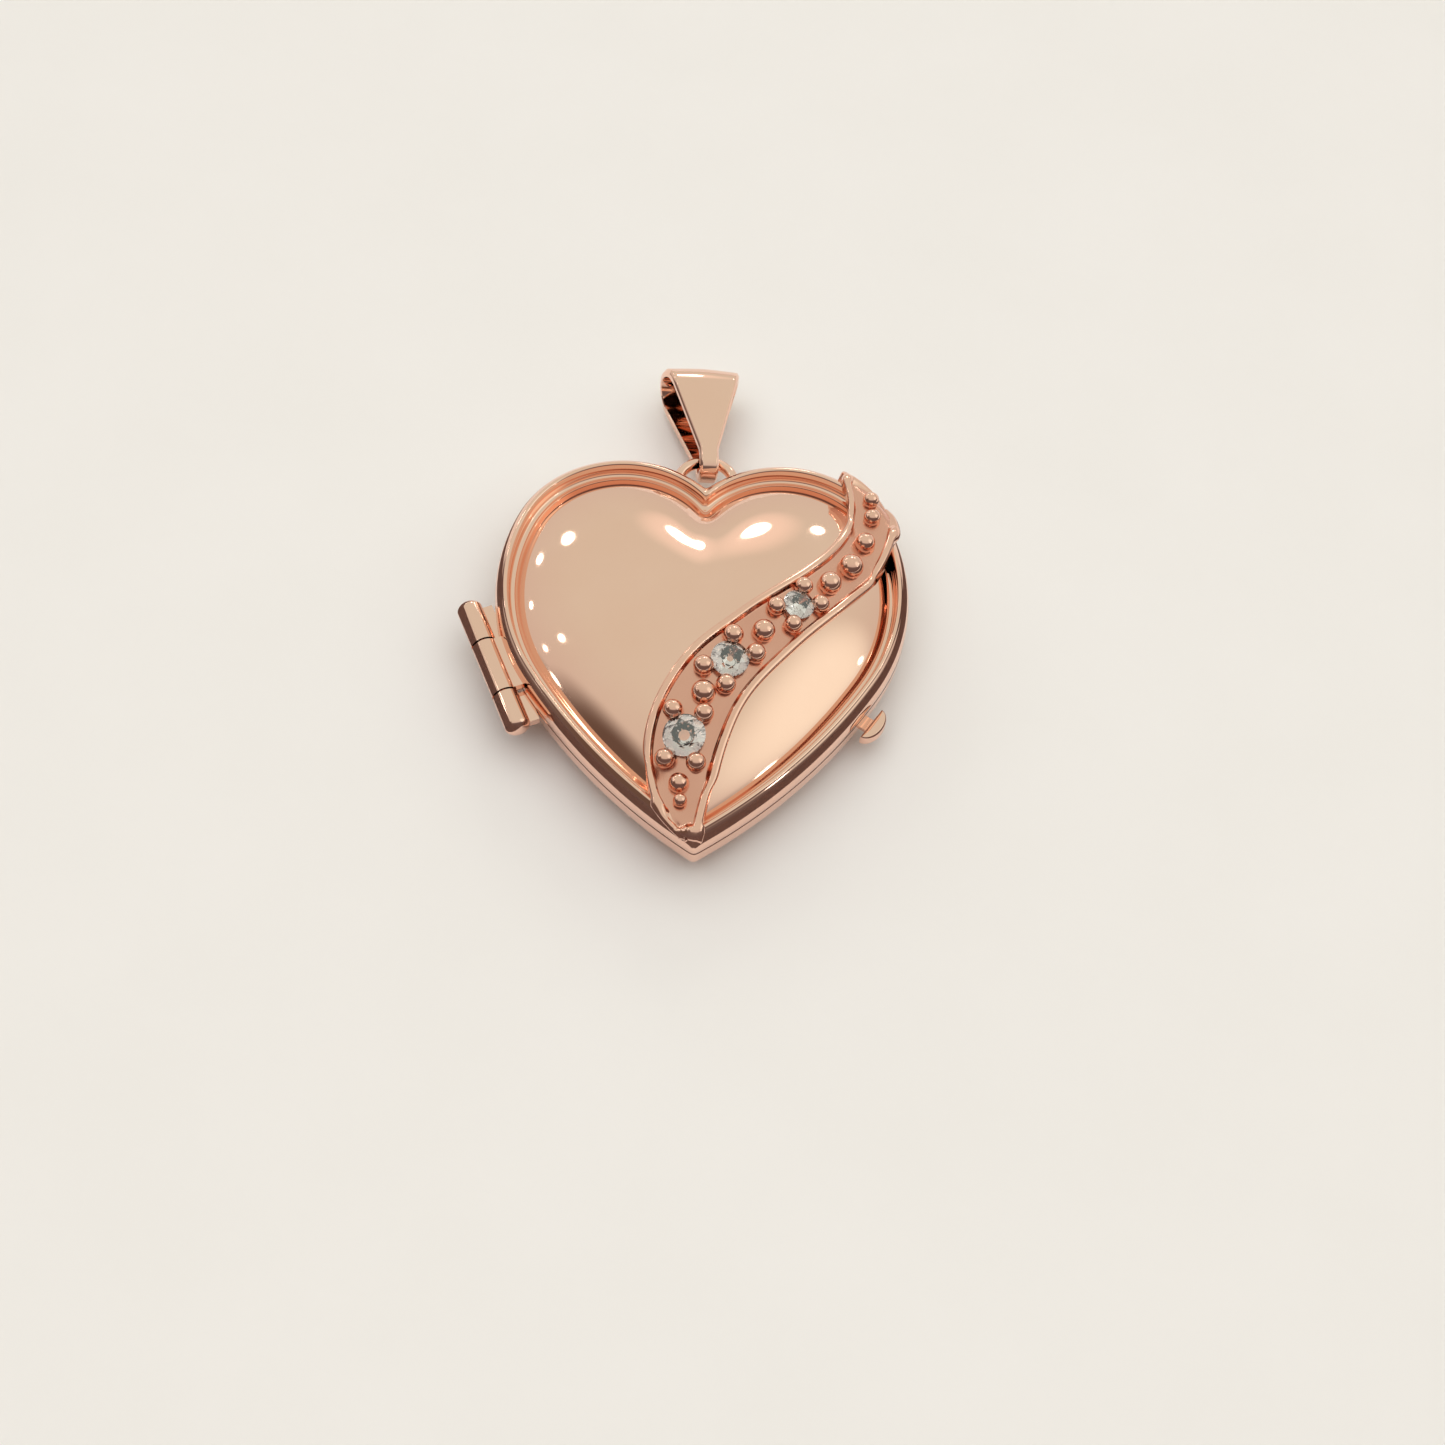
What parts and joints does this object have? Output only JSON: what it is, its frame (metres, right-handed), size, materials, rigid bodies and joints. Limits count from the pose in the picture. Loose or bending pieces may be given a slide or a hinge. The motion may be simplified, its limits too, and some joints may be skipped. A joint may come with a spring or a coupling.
{
  "type": "heart locket",
  "caption": "Hinged heart locket with a domed front, a jewelled swirl band, snap lip, photo recesses and a swinging bail.",
  "frame": {"origin": "centre of the flat panel on the back of the case, which the locket rests on", "axes": "+X to the thumb-tab side, +Y from the tip to the bail, +Z out of the domed front"},
  "size_m": [0.0217, 0.0284, 0.006],
  "materials": {
    "rose_gold": "mirror-polished rose gold",
    "diamond": "brilliant-cut stone",
    "clear_acetate": "clear acetate sheet",
    "insert_card": "blank matt card"
  },
  "bodies": {
    "case_back": {"back_cover": "rose_gold", "closing_lip": "rose_gold", "hinge_knuckle_upper": "rose_gold", "hinge_knuckle_lower": "rose_gold", "hinge_pin": "rose_gold", "thumb_tab": "rose_gold", "bail_ring": "rose_gold", "photo_frame_back": "rose_gold", "photo_window_back": "clear_acetate", "photo_card_back": "insert_card"},
    "case_front": {"front_cover": "rose_gold", "swirl_band": "rose_gold", "diamond_upper": "diamond", "diamond_middle": "diamond", "diamond_lower": "diamond", "hinge_knuckle_middle": "rose_gold", "photo_frame_front": "rose_gold", "photo_window_front": "clear_acetate", "photo_card_front": "insert_card"},
    "bail": {"bail": "rose_gold"}
  },
  "joints": [
    {"name": "case_hinge", "type": "hinge", "parent": "case_back", "child": "case_front", "pos_m": [-0.00983, -0.00111, 0.00222], "axis": [0.3939, -0.9191, 0], "range_deg": [0, 165]},
    {"name": "bail_swing", "type": "hinge", "parent": "case_back", "child": "bail", "pos_m": [0, 0.01176, 0.00185], "axis": [1, 0, 0], "range_deg": [-90, 110]}
  ]
}
